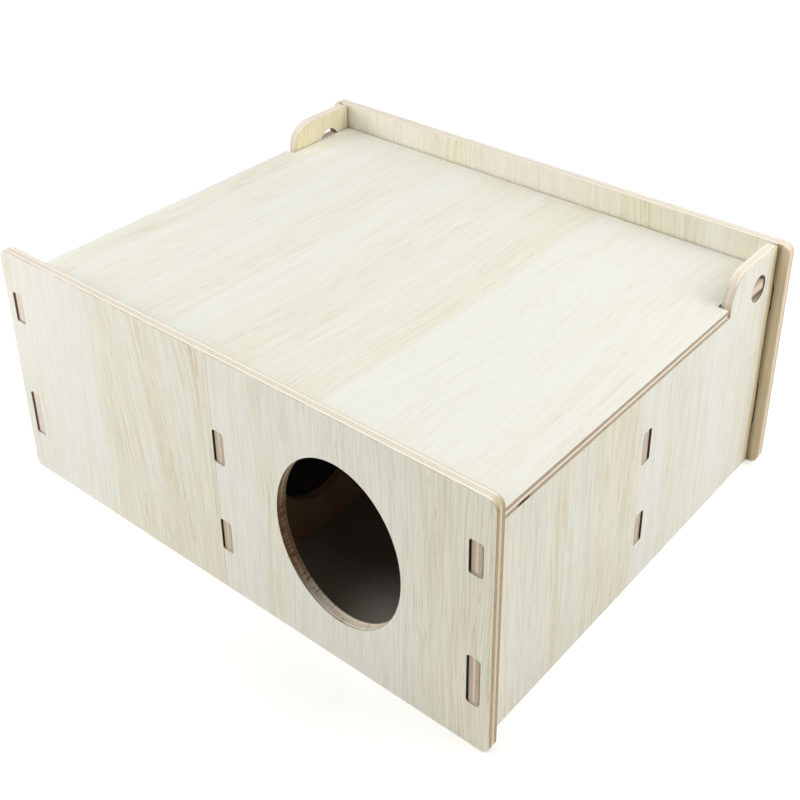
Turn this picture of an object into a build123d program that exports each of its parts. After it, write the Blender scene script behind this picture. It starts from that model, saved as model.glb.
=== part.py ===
# Hamster house with a hinged lid: seven boards of three-ply, joined by tabs in slots.
# +X runs along the front, +Y to the back, +Z up, and the origin is on the ground below the centre.
# The house has no floor, so it stands on the lower edges of its boards.
import os
from math import acos, atan2, degrees, hypot, sqrt

from build123d import *

# Boards and overall size
ply = 4.5
width = 250.0               # front and back panels
depth = 206.0               # over the front and back panels
height = 110.0              # front and back panels, and the ears of the sides
panel_overhang = 5.0        # front and back panels past the outer faces of the sides
panel_corner_radius = 4.0

# Tabs and slots
slot_gap = 0.6              # round each tab
slot_corner_radius = 1.2
tab_recess = 0.6            # tab ends below the face that they come out of
side_rear_gap = 0.5         # sides to the back panel, between their tabs
lower_tab_rise = 20.3       # ground to the lowest tab of each board
side_lower_tab = 20.6
side_upper_tab = 13.0
side_tab_drop = 2.7         # top of a side to its upper tab
divider_tab = 13.8
long_tab_drop = 16.4        # top of the long divider to its upper tab
cross_tab_drop = 19.4       # top of the cross divider to its upper tab

# Lid and its hinge
lid_depth_below_rim = 12.2  # lid's top below the rim of the front panel
lid_end_gap = 0.6           # lid to the front and back panels
lid_neck_gap = 0.4          # lid's narrow rear part to the ears
lid_shoulder_gap = 2.2      # lid's wide part to the front of the ears
lid_corner_radius = 1.2     # rear corners of the lid's wide part
hinge_setback = 14.5        # hinge axis to the back panel
hinge_hole = 12.0
hinge_gap = 0.35            # corners of a tongue to the round hole
tongue_recess = 0.5

# Ears of the sides
ear_length = 38.5
ear_front_radius = 12.0
ear_rear_radius = 2.0

# Dividers and openings
divider_gap = 0.5           # top of the dividers to the lid
relief_gap = 2.0            # long divider to the swing of the lid's rear edge
doorway_width = 58.0
doorway_lintel = 18.8       # entrance to the top of the front panel
entrance_sill = 19.4
entrance_x = 58.0
passage_sill = 16.0         # doorways in the dividers

# Places that follow from these
wall_y = depth / 2 - ply
side_face = width / 2 - panel_overhang
side_inner = side_face - ply
side_middle = side_face - ply / 2
tab_length = ply - tab_recess

lid_top = height - lid_depth_below_rim
side_top = lid_top - ply
divider_top = side_top - divider_gap
hinge_y = wall_y - hinge_setback
hinge_z = lid_top - ply / 2

lid_front = -wall_y + lid_end_gap
tail_reach = hinge_setback - lid_end_gap
lid_rear = hinge_y + sqrt(tail_reach**2 - (ply / 2) ** 2)
ear_front = wall_y - ear_length
lid_shoulder = ear_front - lid_shoulder_gap
lid_neck = side_inner - lid_neck_gap
tongue_width = sqrt((hinge_hole - 2 * hinge_gap) ** 2 - ply**2)
tongue_reach = side_face - tongue_recess

relief_reach = hinge_setback + relief_gap
relief_front = hinge_y - relief_reach
relief_z = hinge_z - relief_reach

doorway_height = height - entrance_sill - doorway_lintel
entrance_z = entrance_sill + doorway_height / 2
passage_z = passage_sill + doorway_height / 2
passage_y = -(wall_y + ply / 2) / 2
passage_x = (ply / 2 + side_inner) / 2


def tab_pair(lower, upper, board_top, drop):
    """Heights of a board's lower and upper tab, each as (bottom, top)."""
    upper_top = board_top - drop
    return (lower_tab_rise, lower_tab_rise + lower), (upper_top - upper, upper_top)


side_tabs = tab_pair(side_lower_tab, side_upper_tab, side_top, side_tab_drop)
long_tabs = tab_pair(divider_tab, divider_tab, divider_top, long_tab_drop)
cross_tabs = tab_pair(divider_tab, divider_tab, divider_top, cross_tab_drop)


def add_tabs(edge, outward, tabs, gap=0.0):
    """Add tabs that point along outward (1 or -1) into a face at edge, from a board gap away."""
    for bottom, top in tabs:
        with Locations((edge + outward * (tab_length - gap) / 2, (bottom + top) / 2)):
            Rectangle(tab_length + gap, top - bottom)


def cut_slots(place, tabs):
    """Cut the slots that a board's tabs go through."""
    for bottom, top in tabs:
        with Locations((place, (bottom + top) / 2)):
            RectangleRounded(
                ply + 2 * slot_gap,
                top - bottom + 2 * slot_gap,
                slot_corner_radius,
                mode=Mode.SUBTRACT,
            )


def cut_doorway(place, centre_z):
    """Cut an upright oval doorway."""
    with Locations((place, centre_z)):
        Ellipse(doorway_width / 2, doorway_height / 2, mode=Mode.SUBTRACT)


def draw_end_panel():
    """Draw the outline that the front and back panels share, with its six slots."""
    with Locations((0, height / 2)):
        RectangleRounded(width, height, panel_corner_radius)
    for x in (-side_middle, side_middle):
        cut_slots(x, side_tabs)
    cut_slots(0, long_tabs)


def draw_side():
    """Draw the outline that both sides share: the ear at the back holds the lid's tongue."""
    Polygon(
        (-wall_y, 0),
        (wall_y - side_rear_gap, 0),
        (wall_y - side_rear_gap, height),
        (ear_front, height),
        (ear_front, side_top),
        (-wall_y, side_top),
        align=None,
    )
    ear_corners = vertices().group_by(Axis.Y)[-1].sort_by(Axis.X)
    fillet(ear_corners[0], ear_front_radius)
    fillet(vertices().group_by(Axis.Y)[-1].sort_by(Axis.X)[-1], ear_rear_radius)
    add_tabs(-wall_y, -1, side_tabs)
    add_tabs(wall_y, 1, side_tabs, side_rear_gap)
    with Locations((hinge_y, hinge_z)):
        Circle(hinge_hole / 2, mode=Mode.SUBTRACT)


# Front panel, with the entrance to the front right chamber
with BuildPart() as front_panel:
    with BuildSketch(Plane.XZ.offset(wall_y)):
        draw_end_panel()
        cut_doorway(entrance_x, entrance_z)
    extrude(amount=ply)

with BuildPart() as back_panel:
    with BuildSketch(Plane.XZ.offset(-depth / 2)):
        draw_end_panel()
    extrude(amount=ply)

with BuildPart() as left_side:
    with BuildSketch(Plane.YZ.offset(-side_face)):
        draw_side()
    extrude(amount=ply)

# The right side also takes the cross divider's tabs
with BuildPart() as right_side:
    with BuildSketch(Plane.YZ.offset(side_inner)):
        draw_side()
        cut_slots(0, cross_tabs)
    extrude(amount=ply)

# Long divider, front to back, cut away at the top rear where the lid's tail swings down
with BuildPart() as long_divider:
    with BuildSketch(Plane.YZ.offset(-ply / 2)):
        Polygon(
            (-wall_y, 0),
            (wall_y, 0),
            (wall_y, relief_z),
            (relief_front, relief_z),
            (relief_front, divider_top),
            (-wall_y, divider_top),
            align=None,
        )
        add_tabs(-wall_y, -1, long_tabs)
        add_tabs(wall_y, 1, long_tabs)
        cut_slots(0, cross_tabs)
        cut_doorway(passage_y, passage_z)
    extrude(amount=ply)

# Cross divider, from the long divider to the right side
with BuildPart() as cross_divider:
    with BuildSketch(Plane.XZ.offset(-ply / 2)):
        with Locations((passage_x, divider_top / 2)):
            Rectangle(side_inner - ply / 2, divider_top)
        add_tabs(ply / 2, -1, cross_tabs)
        add_tabs(side_inner, 1, cross_tabs)
        cut_doorway(passage_x, passage_z)
    extrude(amount=ply)

# Lid: wide over the sides, narrow between the ears, with a tongue into each ear
with BuildPart() as lid:
    with BuildSketch(Plane.XY.offset(side_top)):
        with Locations((0, lid_front)):
            Rectangle(2 * side_face, lid_shoulder - lid_front, align=(Align.CENTER, Align.MIN))
        fillet(vertices().group_by(Axis.Y)[-1], lid_corner_radius)
        with Locations((0, lid_shoulder)):
            Rectangle(2 * lid_neck, lid_rear - lid_shoulder, align=(Align.CENTER, Align.MIN))
        with Locations((0, hinge_y)):
            Rectangle(2 * tongue_reach, tongue_width)
    extrude(amount=ply)

# The lid opens until its top face leans on the back panel's upper edge
rim_above_hinge = height - hinge_z
open_angle = degrees(
    atan2(hinge_setback, rim_above_hinge) + acos(ply / 2 / hypot(hinge_setback, rim_above_hinge))
)
print(f"lid leans on the back panel at {open_angle:.1f} degrees, hinge at y {hinge_y:.2f}, z {hinge_z:.2f}")

os.makedirs("parts", exist_ok=True)
front_panel.part.label = "front_panel"
export_step(front_panel.part, "parts/front_panel.step")
back_panel.part.label = "back_panel"
export_step(back_panel.part, "parts/back_panel.step")
left_side.part.label = "left_side"
export_step(left_side.part, "parts/left_side.step")
right_side.part.label = "right_side"
export_step(right_side.part, "parts/right_side.step")
long_divider.part.label = "long_divider"
export_step(long_divider.part, "parts/long_divider.step")
cross_divider.part.label = "cross_divider"
export_step(cross_divider.part, "parts/cross_divider.step")
lid.part.label = "lid"
export_step(lid.part, "parts/lid.step")
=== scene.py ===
import math

import bpy
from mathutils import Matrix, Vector


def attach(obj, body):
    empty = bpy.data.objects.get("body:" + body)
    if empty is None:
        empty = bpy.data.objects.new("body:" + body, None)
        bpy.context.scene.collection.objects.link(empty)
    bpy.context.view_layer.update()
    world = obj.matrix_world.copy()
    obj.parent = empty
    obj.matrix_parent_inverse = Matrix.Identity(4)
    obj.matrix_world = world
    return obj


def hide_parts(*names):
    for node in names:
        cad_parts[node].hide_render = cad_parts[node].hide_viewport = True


# Hamster house of three-ply boards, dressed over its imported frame. Metres, +X along the front, +Z up.
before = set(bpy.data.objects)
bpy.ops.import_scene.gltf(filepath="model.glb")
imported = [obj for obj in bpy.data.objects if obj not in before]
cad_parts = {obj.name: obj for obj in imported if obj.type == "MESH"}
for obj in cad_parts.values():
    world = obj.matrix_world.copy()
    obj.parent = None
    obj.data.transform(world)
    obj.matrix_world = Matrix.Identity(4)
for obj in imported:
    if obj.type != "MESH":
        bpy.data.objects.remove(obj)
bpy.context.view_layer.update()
print("frame loaded:", ", ".join(sorted(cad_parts)))

bodyOfBoard = {"lid": "lid"}  # every other board is fixed in the house
halfPly = 2.25  # mm, half of a board's thickness


def tone(red, green, blue):  # a colour as a picker shows it, 0 to 255, made linear
    shares = [channel / 255 for channel in (red, green, blue)]
    return tuple(s / 12.92 if s <= 0.04045 else ((s + 0.055) / 1.055) ** 2.4 for s in shares) + (1.0,)


def fillRamp(ramp, stops):  # grey stops, as (place, value)
    while len(ramp.elements) > 1:
        ramp.elements.remove(ramp.elements[-1])
    ramp.elements[0].position = stops[0][0]
    ramp.elements[0].color = (stops[0][1],) * 3 + (1.0,)
    for place, value in stops[1:]:
        ramp.elements.new(place).color = (value,) * 3 + (1.0,)


class Wire:  # a socket that can be used in sums, such as 1 - mask
    def __init__(self, tree, socket=None):
        self.tree = tree
        self.socket = socket

    def node(self, kind, settings=None, inputs=None, output=0):
        made = self.tree.nodes.new(kind)
        for name, value in (settings or {}).items():
            if name == "stops":
                fillRamp(made.color_ramp, value)
            else:
                setattr(made, name, value)
        for name, value in (inputs or {}).items():
            if isinstance(value, Wire):
                self.tree.links.new(value.socket, made.inputs[name])
            else:
                made.inputs[name].default_value = value
        return Wire(self.tree, made.outputs[output] if made.outputs else None)

    def also(self, output):  # another output of the same node
        return Wire(self.tree, self.socket.node.outputs[output])

    def maths(self, operation, *values):
        return self.node("ShaderNodeMath", {"operation": operation}, dict(enumerate(values)))

    def __add__(self, other):
        return self.maths("ADD", self, other)

    def __radd__(self, other):
        return self.maths("ADD", other, self)

    def __sub__(self, other):
        return self.maths("SUBTRACT", self, other)

    def __rsub__(self, other):
        return self.maths("SUBTRACT", other, self)

    def __mul__(self, other):
        return self.maths("MULTIPLY", self, other)

    def __rmul__(self, other):
        return self.maths("MULTIPLY", other, self)

    def __truediv__(self, other):
        return self.maths("DIVIDE", self, other)

    def __abs__(self):
        return self.maths("ABSOLUTE", self)

    def __gt__(self, other):
        return self.maths("GREATER_THAN", self, other)

    def ease(self, low, high):  # 0 at low, 1 at high, smooth between
        return self.node(
            "ShaderNodeMapRange",
            {"interpolation_type": "SMOOTHSTEP"},
            {"Value": self, "From Min": low, "From Max": high},
        )

    def nearTo(self, middle, full, gone):  # 1 up to full away from the middle, 0 from gone outwards
        return 1 - abs(self - middle).ease(full, gone)

    def blendTo(self, other, factor, mode="MIX"):  # this colour towards another one
        return self.node(
            "ShaderNodeMix",
            {"data_type": "RGBA", "blend_type": mode, "clamp_factor": True},
            {0: factor, 6: self, 7: other},
            output=2,
        )

    def grain(self, x, y, z, detail=1.0):  # noise at a point given by three wires or numbers
        point = self.node("ShaderNodeCombineXYZ", inputs={"X": x, "Y": y, "Z": z})
        return self.node(
            "ShaderNodeTexNoise",
            {"noise_dimensions": "3D"},
            {"Vector": point, "Scale": 1.0, "Detail": detail, "Roughness": 0.5},
        )

    def seenDirectly(self):  # 1 for camera, mirror and glass rays
        path = self.node("ShaderNodeLightPath", output="Is Camera Ray")
        return path + path.also("Is Glossy Ray") + path.also("Is Transmission Ray")

    def colour(self, value):  # a fixed colour to start a blend from
        return self.node("ShaderNodeMix", {"data_type": "RGBA"}, {0: 0.0, 6: value, 7: value}, output=2)


# The veneer of the faces: picker colours, then strengths and mm
veneer = {
    "white": (240, 240, 235),
    "beige": (236, 232, 210),
    "straw": (226, 209, 172),
    "moss": (214, 213, 186),
    "line": (206, 189, 152),
    "pore": (168, 146, 110),
    "innerTint": (255, 253, 250),
    "rawTint": (172, 142, 120),
    "toast": (228, 204, 148),
    # painted shade on the back panel's strip outside each side
    "overhangShade": (252, 240, 222),
    "leafShift": 31.7,  # in the noise, as the two faces are different leaves
    "lineStrength": 0.5,
    "hairStrength": 0.4,
    "threadShare": 0.8,
    "poreStrength": 0.7,
    "seamCalm": 16.0,  # the drift dies down this close to a seam
    "seamLine": (0.08, 0.4),  # full and gone
    "seamStrength": 0.35,
    # painted shade in the corner beside each side
    "cornerShadeStrength": 0.6,
    "toastStrength": 0.8,
}

# Its slow movements: mm across and along, and the shift of the noise
swells = {
    "drift": {"wide": 60, "long": 85},
    "ripple": {"wide": 10, "long": 60, "shift": 1.9, "reach": 1.2},
    "cloud": {"wide": 11, "long": 120, "shift": 3.1, "detail": 3.0, "strength": 0.5},
}

# Its marks: mm across and along, shift and detail of the noise, and the levels where they start and are full
figure = {
    "streak": {"wide": 1.7, "long": 80, "shift": 7.7, "detail": 2.0, "levels": (0.42, 0.72)},
    "hue": {"wide": 3.2, "long": 70, "shift": 9.4, "detail": 1.0, "levels": (0.42, 0.6)},
    "line": {"wide": 0.62, "long": 30, "shift": 11.9, "detail": 1.0, "levels": (0.48, 0.72)},
    "hair": {"wide": 0.36, "long": 16, "shift": 14.2, "detail": 1.0, "levels": (0.5, 0.7)},
    "thread": {"wide": 0.36, "long": 36, "shift": 15.6, "detail": 1.0, "levels": (0.64, 0.76)},
    "dash": {"wide": 0.34, "long": 8, "shift": 17.3, "detail": 0.0, "levels": (0.66, 0.8)},
    "cluster": {"wide": 5, "long": 45, "shift": 19.1, "detail": 1.0, "levels": (0.42, 0.64)},
}

# The plies at the edges: picker colours, and mm from the middle of the board
plies = {
    "coreHalf": 0.62,
    "coreBlur": 0.06,
    "wave": {"long": 18, "shift": 23.9, "reach": 0.2},  # how the borders of the plies wander
    "fibre": {"long": 5, "thin": 0.16, "levels": (0.45, 0.75)},
    "speck": {"long": 0.4, "thin": 0.3, "levels": (0.48, 0.8), "endLevels": (0.35, 0.65), "endShare": 0.6},
    "ragged": {"long": 7, "shift": 27.3, "levels": (0.3, 0.6)},
    "topCore": {"levels": (0.3, 0.55), "strength": 0.14},
    "topLines": {"middle": 0.42, "full": 0.02, "gone": 0.19, "least": 0.3, "ragged": 0.9},
    "glueLine": {"full": 0.04, "gone": 0.16, "strength": 0.3},
    "skinDepth": (0.5, 0.32),  # below the face, where it starts and is full
    "skinShare": (0.45, 0.5),  # everywhere, and more where it is ragged on the outside
    "faceDepth": (0.14, 0.06),  # below the face, where the veneer's surface takes over
    "paleStrength": 0.55,
    "tongueStrength": 0.65,
    "cornerFrom": 110,  # rounded corners lie beyond this, across
    "openJoint": (70, 46, 34),
    "endGrain": (248, 240, 226),
    "endGrainDark": (228, 210, 184),
    "topLine": (198, 178, 148),
    "topLineDark": (164, 140, 114),
    "sideGrain": (188, 166, 138),
    "sideGrainDark": (152, 126, 98),
    "roundCorner": (208, 190, 148),
    "glue": (160, 132, 104),
    "skin": (152, 142, 112),
    "shade": (44, 30, 16),
    # painted shade in the hinge hole
    "burnt": (104, 76, 54),
    "rawEdge": (168, 142, 120),
    "scorch": (142, 102, 70),
    # painted shade in the back panel's corner beside each side
    "corner": (122, 100, 68),
}

# Each board: the axes that its grain runs along, across and through, the mm of its middle through, the side
# that shows (0 for an inner board), half its width, the start of its noise, and how strong its figure is.
# Bands are (mm across, strength), slots (mm across, shadow), and tabs start at a distance across.
boards = {
    "front_panel": {
        "axes": ("Z", "X", "Y"), "middle": -100.75, "shows": -1, "half": 125.0, "seed": 1.3,
        "wander": 10.0, "warm": 0.75, "plain": 0.12, "streaks": 0.62, "lines": 1.1, "pores": 1.1,
        "endContrast": 1.0, "endTint": (240, 228, 206), "round": 0.65,
        "slant": {"low": -74.0, "high": -2.0, "fadeIn": 14, "fadeOut": 16, "level": 55, "lean": 0.1},
        "seams": (-2.6,),
        "slots": ((-117.75, 0.3), (0.0, 0.9), (117.75, 0.9)),
        "doorway": (58.0, 55.3),
        "bands": (
            (-125, 0.28), (-112, 0.2), (-73, 0.18), (-67, 0.48), (-52, 0.66), (-46, 0.4), (-36, 0.7),
            (-22, 0.48), (-3.5, 0.68), (-1.5, 0.25), (16, 0.3), (22, 0.65), (32, 0.4), (44, 0.3), (66, 0.35),
            (84, 0.4), (88, 0.6), (94, 0.45), (99, 0.7), (107, 0.5), (112, 0.65), (125, 0.75),
        ),
    },
    "back_panel": {
        "axes": ("Z", "X", "Y"), "middle": 100.75, "shows": 1, "half": 125.0, "seed": 22.7,
        "wander": 8.0, "warm": 0.8, "plain": 0.2, "streaks": 0.7, "lines": 0.8, "pores": 0.8,
        "endContrast": 1.0, "endTint": (250, 238, 222), "round": 0.1,
        "overhangFrom": 119.4, "paleFrom": 119.4,
        "slots": ((-117.75, 0.3), (0.0, 0.9), (117.75, 0.9)),
        "bands": (
            (-125, 0.5), (-80, 0.2), (-40, 0.6), (-20, 0.2), (30, 0.3), (60, 0.8), (90, 0.2), (125, 0.5),
        ),
    },
    "left_side": {
        "axes": ("Z", "Y", "X"), "middle": -117.75, "shows": -1, "half": 104.0, "seed": 41.9,
        "wander": 8.0, "warm": 0.5, "plain": 0.2, "streaks": 0.6, "lines": 0.7, "pores": 0.8,
        "endContrast": 0.35, "innerTint": (254, 247, 227), "paleFrom": 98.6,
        "tabs": 98.6, "tucked": 0.8,
        "hole": (84.0, 95.55), "earFrom": (58.0, 93.4),
        "bands": ((-104, 0.2), (-60, 0.7), (-20, 0.3), (10, 0.1), (40, 0.6), (60, 0.7), (104, 0.2)),
    },
    "right_side": {
        "axes": ("Z", "Y", "X"), "middle": 117.75, "shows": 1, "half": 104.0, "seed": 63.1,
        "wander": 6.0, "warm": 0.45, "plain": 0.25, "streaks": 0.55, "lines": 1.0, "pores": 1.0,
        "endContrast": 0.35, "toastFrom": 94.2,
        "tabs": 98.6, "tucked": 0.8,
        "slots": ((0.0, 0.9),),
        "hole": (84.0, 95.55), "earFrom": (58.0, 93.4),
        "bands": (
            (-104, 0.5), (-64, 0.45), (-57, 0.8), (-50, 0.4), (-36, 0.5), (-28, 0.85), (-9.0, 0.65),
            (-1.5, 0.15), (8, 0.15), (22, 0.45), (40, 0.4), (58, 0.15), (66, 0.25), (84, 0.48), (104, 0.7),
        ),
    },
    "long_divider": {
        "axes": ("Z", "Y", "X"), "middle": 0.0, "shows": 0, "half": 104.0, "seed": 81.5,
        "wander": 8.0, "warm": 0.8, "plain": 0.3, "streaks": 0.6, "lines": 0.8, "pores": 0.8,
        "endContrast": 0.3,
        "tabs": 98.6, "tucked": 0.8,
        "slots": ((0.0, 0.9),),
        "bands": ((-104, 0.6), (0, 0.9), (104, 0.6)),
    },
    "cross_divider": {
        "axes": ("Z", "X", "Y"), "middle": 0.0, "shows": 0, "half": 125.0, "seed": 97.2,
        "wander": 8.0, "warm": 0.8, "plain": 0.3, "streaks": 0.6, "lines": 0.8, "pores": 0.8,
        "endContrast": 0.3,
        "tabs": 115.6, "tucked": 0.8,
        "bands": ((-125, 0.6), (60, 0.9), (125, 0.6)),
    },
    "lid": {
        "axes": ("Y", "X", "Z"), "middle": 95.55, "shows": 1, "half": 120.0, "seed": 5.6,
        "wander": 9.0, "warm": 0.5, "plain": 0.12, "streaks": 0.38, "lines": 0.6, "pores": 0.75,
        "endContrast": 0.9, "tongueTone": (232, 214, 196),
        "tabs": 115.6, "tabsAlong": 70.0, "tucked": 0.6, "tuckedTone": (206, 176, 146),
        "gap": {"along": -81.0, "through": -1.45, "length": 3.8, "depth": 0.85},  # in the edge's lower ply
        "bands": (
            (-120, 0.15), (-116, 0.5), (-108, 0.5), (-104, 0.2), (-96, 0.38), (-84, 0.25), (-79, 0.33),
            (-67, 0.25), (-63, 0.44), (-45, 0.47), (-41, 0.25), (-24, 0.28), (-17, 0.57), (1, 0.5), (4, 0.35),
            (8, 0.3), (12, 0.52), (20, 0.45), (28, 0.6), (36, 0.62), (40.5, 0.2), (52, 0.2), (56, 0.27),
            (98, 0.22), (104, 0.42), (120, 0.3),
        ),
    },
}

# Marks of the cutter and shadows in the cuts: mm from the middle as (full, gone), and strengths
cuts = {
    "slot": (3.2, 3.4),
    "hole": (6.4, 6.6),
    "holeShadeStrengths": (0.4, 0.5),  # painted shade in the hole: all round, and more on its roof
    "earStrength": 0.45,
    "doorwayWide": (29.2, 29.5),
    "doorwayTall": (36.1, 36.4),
    "scratch": {"long": 1.1, "deep": 6, "levels": (0.4, 0.62)},
    "patch": {"long": 9, "shift": 31.1, "levels": (0.36, 0.6), "strength": 0.5},
    "leftWall": (0.55, 0.3),  # everywhere, and more in the scratches
}
finish = {
    "rough": {"least": 0.56, "line": 0.1, "band": 0.06, "edge": 0.1},
    "relief": {"line": 0.4, "streak": 0.3, "pore": 1.2, "speck": 0.7, "fibre": 0.6},
    "bump": 0.35,
    "bumpDepth": 0.00008,  # m
    "specular": 0.35,
}


def figureMarks(start, swing, along, seed):  # each layer of the figure, by name
    marks = {}
    for name, look in figure.items():
        noise = start.grain(swing / look["wide"], along / look["long"], seed + look["shift"], look["detail"])
        marks[name] = noise.ease(*look["levels"])
    return marks


def veneerLeaf(start, board, along, across, through, seed):
    # Broad bands, streaks, fine lines and pores, all bent by one slow drift
    look = swells["drift"]
    drift = (start.grain(across / look["wide"], along / look["long"], seed) - 0.5) * board["wander"]
    for seam in board.get("seams", ()):
        drift = drift * abs(across - seam).ease(0.0, veneer["seamCalm"])
    look = swells["ripple"]
    ripple = start.grain(across / look["wide"], along / look["long"], seed + look["shift"])
    swing = across + drift + (ripple - 0.5) * look["reach"]
    if "slant" in board:
        slant = board["slant"]
        fadeIn = across.ease(slant["low"], slant["low"] + slant["fadeIn"])
        fadeOut = 1 - across.ease(slant["high"] - slant["fadeOut"], slant["high"])
        swing = swing + fadeIn * fadeOut * (along - slant["level"]) * slant["lean"]
    share = (swing + board["half"]) / (2 * board["half"])
    stops = [((mm + board["half"]) / (2 * board["half"]), value) for mm, value in board["bands"]]
    look = swells["cloud"]
    cloud = start.grain(swing / look["wide"], along / look["long"], seed + look["shift"], look["detail"])
    ramp = start.node("ShaderNodeValToRGB", {"stops": stops}, {"Fac": share})
    band = start.node("ShaderNodeClamp", inputs={"Value": ramp + (cloud - 0.5) * look["strength"]})
    busy = board["plain"] + (1 - board["plain"]) * band  # how much figure the veneer has there
    marks = figureMarks(start, swing, along, seed)
    dots = (marks["dash"] + marks["thread"] * veneer["threadShare"]) * marks["cluster"]
    pore = dots * band * board["pores"]
    marks.update(band=band, pore=pore)

    warmth = marks["hue"] * board["warm"]
    streakTone = start.colour(tone(*veneer["moss"])).blendTo(tone(*veneer["straw"]), warmth)
    leaf = start.colour(tone(*veneer["white"])).blendTo(tone(*veneer["beige"]), band)
    leaf = leaf.blendTo(streakTone, marks["streak"] * busy * board["streaks"])
    for name in ("line", "hair"):
        strength = marks[name] * busy * veneer[name + "Strength"] * board["lines"]
        leaf = leaf.blendTo(tone(*veneer["line"]), strength)
    leaf = leaf.blendTo(tone(*veneer["pore"]), pore * veneer["poreStrength"])
    for seam in board.get("seams", ()):
        joint = across.nearTo(seam, *veneer["seamLine"])
        leaf = leaf.blendTo(tone(*veneer["pore"]), joint * veneer["seamStrength"])
    if board["shows"]:
        inner = (through * -board["shows"]) > 0
        leaf = leaf.blendTo(tone(*board.get("innerTint", veneer["innerTint"])), inner, "MULTIPLY")
    else:
        leaf = leaf.blendTo(tone(*veneer["rawTint"]), 1.0, "MULTIPLY")
    if "overhangFrom" in board:  # painted shade on the inner face outside each side, and darker painted shade in the corner
        rise = board["overhangFrom"]
        beyond = abs(across).ease(rise - 0.2, rise)
        corner = beyond * (1 - abs(across).ease(rise + 0.6, rise + 3.6)) * inner
        leaf = leaf.blendTo(tone(*veneer["overhangShade"]), beyond * inner, "MULTIPLY")
        leaf = leaf.blendTo(tone(*plies["corner"]), corner * veneer["cornerShadeStrength"])
    if "toastFrom" in board:  # browned towards the rear cut
        browned = across.ease(board["toastFrom"], board["toastFrom"] + 1.6)
        leaf = leaf.blendTo(tone(*veneer["toast"]), browned * veneer["toastStrength"])
    return leaf, marks


def cutEdge(start, board, along, across, through, seed, turnAlong, turnAcross):
    # A ply is cream where its grain ends there, and tan where its grain runs along the edge
    endAlong = turnAlong * turnAlong
    endAcross = turnAcross * turnAcross
    wave = plies["wave"]
    wander = start.grain(along / wave["long"], across / wave["long"], seed + wave["shift"])
    wavy = abs(through) + (wander - 0.5) * wave["reach"]
    core = 1 - wavy.ease(plies["coreHalf"] - plies["coreBlur"], plies["coreHalf"] + plies["coreBlur"])
    look = plies["fibre"]
    fibre = start.grain(along / look["long"], across / look["long"], through / look["thin"], detail=2.0)
    dark = fibre.ease(*look["levels"])
    lineTone = start.colour(tone(*plies["topLine"])).blendTo(tone(*plies["topLineDark"]), dark)
    sideTone = start.colour(tone(*plies["sideGrain"])).blendTo(tone(*plies["sideGrainDark"]), dark)
    look = plies["speck"]
    speck = start.grain(along / look["long"], across / look["long"], through / look["thin"], detail=2.0)
    pale = start.colour(tone(*plies["endGrain"]))
    endTone = pale.blendTo(tone(*plies["endGrainDark"]), speck.ease(*look["levels"]))
    contrast = board["endContrast"]
    endMix = core * contrast + (1 - contrast) * speck.ease(*look["endLevels"]) * look["endShare"]
    look = plies["ragged"]
    ragged = start.grain(along / look["long"], across / look["long"], seed + look["shift"], detail=2.0)

    # Top and bottom edges have two thin broken lines beside the core
    look = plies["topCore"]
    topRim = endTone.blendTo(lineTone, (1 - wavy.ease(*look["levels"])) * look["strength"])
    look = plies["topLines"]
    twoLines = wavy.nearTo(look["middle"], look["full"], look["gone"])
    topRim = topRim.blendTo(lineTone, twoLines * (look["least"] + look["ragged"] * ragged))
    if "endTint" in board:
        endTone = endTone.blendTo(tone(*board["endTint"]), 1.0, "MULTIPLY")
    rim = sideTone.blendTo(endTone, endMix).blendTo(topRim, (endAlong - endAcross).ease(-0.5, 0.5))
    if "paleFrom" in board:
        rim = rim.blendTo(endTone, (abs(across) > board["paleFrom"]) * plies["paleStrength"])
    if "tongueTone" in board:
        tongue = abs(across).ease(board["tabs"] + 2, board["tabs"] + 3) * (along > board["tabsAlong"])
        rim = rim.blendTo(tone(*board["tongueTone"]), tongue * plies["tongueStrength"])
    if "round" in board:
        turning = (endAlong * endAcross * 4).ease(0.2, 0.8) * (abs(across) > plies["cornerFrom"])
        rim = rim.blendTo(tone(*plies["roundCorner"]), turning * board["round"])
    look = plies["glueLine"]
    glue = wavy.nearTo(plies["coreHalf"], look["full"], look["gone"])
    rim = rim.blendTo(tone(*plies["glue"]), glue * look["strength"])
    skin = wavy.ease(*[halfPly - depth for depth in plies["skinDepth"]])
    least, more = plies["skinShare"]
    outer = (through * board["shows"]) > 0
    skinShare = least + more * ragged.ease(*plies["ragged"]["levels"]) * outer
    rim = rim.blendTo(tone(*plies["skin"]), skin * skinShare)
    if "gap" in board:
        gap = board["gap"]
        reach = abs(along - gap["along"]) / gap["length"]
        level = abs(through - gap["through"]) / gap["depth"]
        hollow = reach * reach + level * level + (fibre - 0.5) * 1.2
        rim = rim.blendTo(tone(*plies["openJoint"]), (1 - hollow.ease(0.6, 1.1)) * (across > 0))
    for slot, shade in board.get("slots", ()):
        rim = rim.blendTo(tone(*plies["shade"]), across.nearTo(slot, *cuts["slot"]) * endAcross * shade)
    if "hole" in board:
        holeAcross, holeAlong = board["hole"]
        near = across.nearTo(holeAcross, *cuts["hole"]) * along.nearTo(holeAlong, *cuts["hole"])
        roof = (0 - turnAlong).ease(-0.2, 0.5)
        ear = (across > board["earFrom"][0]) * (along > board["earFrom"][1])
        rim = rim.blendTo(endTone, ear * cuts["earStrength"])
        # painted shade in the hinge hole, all round and more on its roof
        around, above = cuts["holeShadeStrengths"]
        rim = rim.blendTo(tone(*plies["burnt"]), near * (around + above * roof))
    if "doorway" in board:
        inDoor, burns = doorwayScorch(start, board, along, across, through, seed, turnAlong, turnAcross)
        rim = rim.blendTo(tone(*plies["scorch"]), inDoor * burns)
    return rim, fibre, speck


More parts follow.
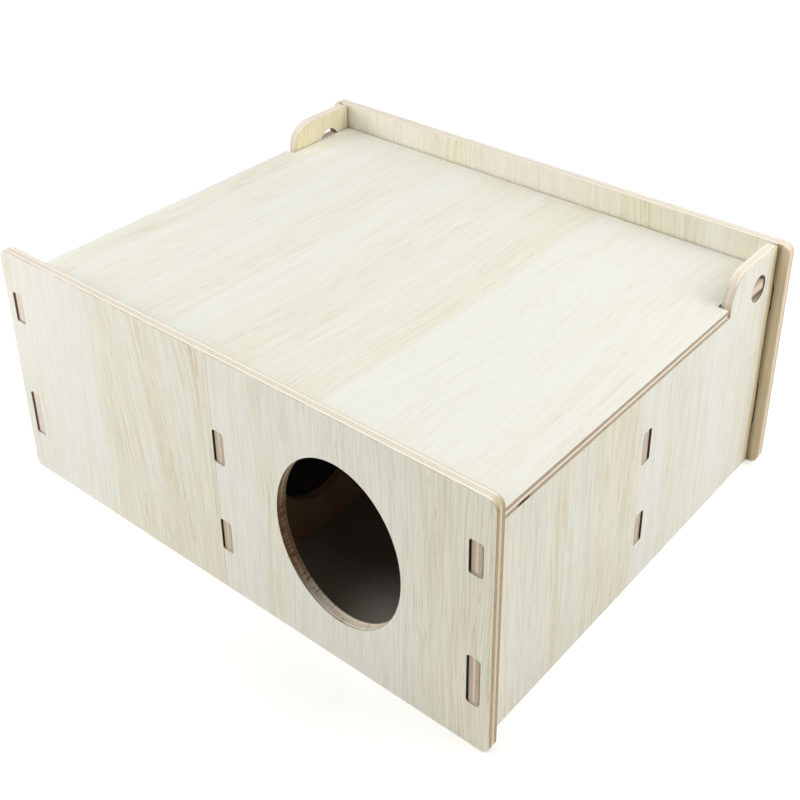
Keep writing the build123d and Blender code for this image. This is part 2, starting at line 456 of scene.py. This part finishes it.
def doorwayScorch(start, board, along, across, through, seed, turnAlong, turnAcross):
    # Mostly low on the left
    doorAcross, doorAlong = board["doorway"]
    inDoor = across.nearTo(doorAcross, *cuts["doorwayWide"]) * along.nearTo(doorAlong, *cuts["doorwayTall"])
    leftWall = turnAcross.ease(0.3, 1.0) * (doorAlong + 12 - along).ease(-8, 14)
    lowLeft = (0.55 * turnAcross + 0.85 * turnAlong).ease(-0.2, 1.0)
    look = cuts["scratch"]
    scratches = start.grain(along / look["long"], across / look["long"], through / look["deep"], detail=2.0)
    scratches = scratches.ease(*look["levels"])
    look = cuts["patch"]
    patch = start.grain(along / look["long"], across / look["long"], seed + look["shift"])
    patch = patch.ease(*look["levels"])
    least, more = cuts["leftWall"]
    return inDoor, leftWall * (least + more * scratches) + scratches * patch * lowLeft * look["strength"]


def plywood(name, board):
    material = bpy.data.materials.new(name + "_plywood")
    material.use_nodes = True
    material.node_tree.nodes.clear()
    start = Wire(material.node_tree)
    place = start.node("ShaderNodeTexCoord", output="Object")
    where = start.node("ShaderNodeSeparateXYZ", inputs={0: place})
    facing = start.node("ShaderNodeSeparateXYZ", inputs={0: place.also("Normal")})
    alongAxis, acrossAxis, throughAxis = board["axes"]
    along = where.also(alongAxis) * 1000
    across = where.also(acrossAxis) * 1000
    through = where.also(throughAxis) * 1000 - board["middle"]
    seed = board["seed"] + veneer["leafShift"] * (through > 0)
    leaf, marks = veneerLeaf(start, board, along, across, through, seed)
    turnAlong, turnAcross = facing.also(alongAxis), facing.also(acrossAxis)
    rim, fibre, speck = cutEdge(start, board, along, across, through, seed, turnAlong, turnAcross)

    face = abs(through).ease(*[halfPly - depth for depth in plies["faceDepth"]])
    edge = 1 - face
    surface = rim.blendTo(leaf, face)
    if not board["shows"]:
        indoors = 1 - abs(across).ease(board["tabs"] - 1, board["tabs"])
        surface = surface.blendTo(tone(*plies["rawEdge"]), indoors * edge, "MULTIPLY")
    if "tabs" in board:  # the flanks of a tab are shaded by its slot
        endAcross = turnAcross * turnAcross
        tucked = abs(across).ease(board["tabs"], board["tabs"] + 0.2) * (1 - endAcross.ease(0.3, 0.7))
        if "tabsAlong" in board:
            tucked = tucked * (along > board["tabsAlong"])
        surface = surface.blendTo(tone(*board.get("tuckedTone", plies["shade"])), tucked * board["tucked"])

    look = finish["rough"]
    rough = look["least"] + look["line"] * marks["line"] - look["band"] * marks["band"] + look["edge"] * edge
    look = finish["relief"]
    onFace = look["line"] * marks["line"] + look["streak"] * marks["streak"] - look["pore"] * marks["pore"]
    height = onFace * face + (look["speck"] * speck + look["fibre"] * fibre) * edge
    bump = start.node(
        "ShaderNodeBump",
        inputs={"Strength": finish["bump"], "Distance": finish["bumpDepth"], "Height": height},
    )
    shader = start.node(
        "ShaderNodeBsdfPrincipled",
        inputs={
            "Base Color": surface,
            "Roughness": rough,
            "Normal": bump,
            "Specular IOR Level": finish["specular"],
        },
    )
    start.node("ShaderNodeOutputMaterial", inputs={"Surface": shader})
    return material


def pick(item):
    bpy.ops.object.select_all(action="DESELECT")
    item.select_set(True)
    bpy.context.view_layer.objects.active = item


easing = {  # sanded arrises, m and degrees
    "width": 0.00025,
    "segments": 2,
    "corner": 35,
    "smoothBelow": 60,
    "mergeWithin": 0.000002,
    "flatWithin": 0.5,
}


def sandedBoard(node):
    board = bpy.data.objects.new(node + "_board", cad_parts[node].data.copy())
    bpy.context.scene.collection.objects.link(board)
    pick(board)
    bpy.ops.mesh.customdata_custom_splitnormals_clear()
    bpy.ops.object.mode_set(mode="EDIT")
    bpy.ops.mesh.select_all(action="SELECT")
    bpy.ops.mesh.remove_doubles(threshold=easing["mergeWithin"])
    bpy.ops.mesh.dissolve_limited(angle_limit=math.radians(easing["flatWithin"]))
    bpy.ops.object.mode_set(mode="OBJECT")
    bpy.ops.object.modifier_add(type="BEVEL")
    bevel = board.modifiers[-1]
    bevel.width = easing["width"]
    bevel.segments = easing["segments"]
    bevel.limit_method = "ANGLE"
    bevel.angle_limit = math.radians(easing["corner"])
    bpy.ops.object.modifier_apply(modifier=bevel.name)
    bpy.ops.object.shade_smooth_by_angle(angle=math.radians(easing["smoothBelow"]))
    bpy.ops.object.modifier_add(type="WEIGHTED_NORMAL")
    board.modifiers[-1].keep_sharp = True
    bpy.ops.object.modifier_apply(modifier=board.modifiers[-1].name)
    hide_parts(node)
    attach(board, bodyOfBoard.get(node, "house"))
    return board


for node, look in boards.items():
    board = sandedBoard(node)
    board.data.materials.clear()
    board.data.materials.append(plywood(node, look))
    print("board dressed:", node, len(board.data.polygons), "faces")


# Floor, with painted shade under the house that is darker deep in it, and glowing white round it, in m
floorLook = {
    "size": 8.0,
    "colour": (0.8, 0.8, 0.8, 1.0),
    # painted shade under the house, and darker painted shade deep in it
    "insideShade": (0.48, 0.46, 0.435, 1.0),
    "deepShade": (0.21, 0.19, 0.17, 1.0),
    "deepShadeFrom": (-0.095, -0.05),
    "half": (0.117, 0.1),
    "rim": 0.003,
    "glow": 0.36,
    "farGlow": 0.9,
    "farFrom": (0.04, 0.5),  # squared distances
}
bpy.ops.mesh.primitive_plane_add(size=floorLook["size"], location=(0, 0, 0))
floor = bpy.context.object
floor.name = "studio_floor"
floorMaterial = bpy.data.materials.new("floor_paper")
floorMaterial.use_nodes = True
floorMaterial.node_tree.nodes.clear()
paper = Wire(floorMaterial.node_tree)
spot = paper.node("ShaderNodeSeparateXYZ", inputs={0: paper.node("ShaderNodeTexCoord", output="Object")})
besides = [
    (abs(spot.also(axis)) - half).ease(0.0, floorLook["rim"]) for axis, half in zip("XY", floorLook["half"])
]
outside = paper.maths("MAXIMUM", *besides)
# painted shade on the floor under the house, darker deep in it
deep = spot.also("Y").ease(*floorLook["deepShadeFrom"])
sheet = paper.colour(floorLook["insideShade"]).blendTo(floorLook["deepShade"], deep)
sheet = sheet.blendTo(floorLook["colour"], outside)
distance = spot.also("X") * spot.also("X") + spot.also("Y") * spot.also("Y")
far = distance.ease(*floorLook["farFrom"])
matt = paper.node("ShaderNodeBsdfDiffuse", inputs={"Color": sheet})
shine = floorLook["glow"] + (floorLook["farGlow"] - floorLook["glow"]) * far
glow = paper.node(
    "ShaderNodeEmission",
    inputs={"Color": (1, 1, 1, 1), "Strength": paper.seenDirectly() * outside * shine},
)
both = paper.node("ShaderNodeAddShader", inputs={0: matt, 1: glow})
paper.node("ShaderNodeOutputMaterial", inputs={"Surface": both})
floor.data.materials.append(floorMaterial)
print("floor laid")

# Soft studio light: a dim white tent and five soft boxes
tent = {"level": 0.09, "seen": 1.0}
warmWhite = (1.0, 0.99, 0.965)
coolWhite = (0.82, 0.91, 1.0)
softBoxes = {
    "overhead": {
        "place": (0.1, 0.25, 1.5), "aim": (0, 0, 0.05), "size": 1.2, "watts": 3.95, "colour": coolWhite,
    },
    "leftBox": {"place": (-0.7, -0.6, 0.4), "aim": (-0.1, -0.1, 0.05), "size": 0.5, "watts": 4.9},
    "frontBox": {"place": (-0.25, -0.6, 0.85), "aim": (0, -0.1, 0.05), "size": 0.45, "watts": 3.1},
    "rightBox": {"place": (0.6, 0.32, 0.52), "aim": (0.12, 0.04, 0.05), "size": 0.7, "watts": 4.6},
    "rearBox": {"place": (0.2, 1.0, 0.6), "aim": (0, 0.1, 0.05), "size": 0.6, "watts": 2.4},
}
world = bpy.data.worlds.new("light_tent")
bpy.context.scene.world = world
world.use_nodes = True
world.node_tree.nodes.clear()
sky = Wire(world.node_tree)
level = tent["level"] + (tent["seen"] - tent["level"]) * sky.seenDirectly()
background = sky.node("ShaderNodeBackground", inputs={"Color": (1, 1, 1, 1), "Strength": level})
sky.node("ShaderNodeOutputWorld", inputs={"Surface": background})
for name, box in softBoxes.items():
    bpy.ops.object.light_add(type="AREA", location=box["place"])
    lamp = bpy.context.object
    lamp.name = name
    lamp.data.size = box["size"]
    lamp.data.energy = box["watts"]
    lamp.data.color = box.get("colour", warmWhite)
    aim = Vector(box["aim"]) - lamp.location
    lamp.rotation_euler = aim.to_track_quat("-Z", "Y").to_euler()
print("lamps hung:", len(softBoxes))

# Camera
view = {
    "place": (0.2914, -0.3436, 0.3583),
    "turn": (60.95, 0.21, 39.22),  # degrees
    "lens": 56.93,  # mm
    "sensor": 36.0,
    "shift": (-0.02, -0.1875),
    "clipFrom": 0.01,  # m
}
bpy.ops.object.camera_add(location=view["place"], rotation=[math.radians(turn) for turn in view["turn"]])
camera = bpy.context.object
camera.data.sensor_width = view["sensor"]
camera.data.lens = view["lens"]
camera.data.shift_x, camera.data.shift_y = view["shift"]
camera.data.clip_start = view["clipFrom"]
bpy.context.scene.camera = camera
bpy.context.scene.view_settings.view_transform = "Standard"
print("camera set")
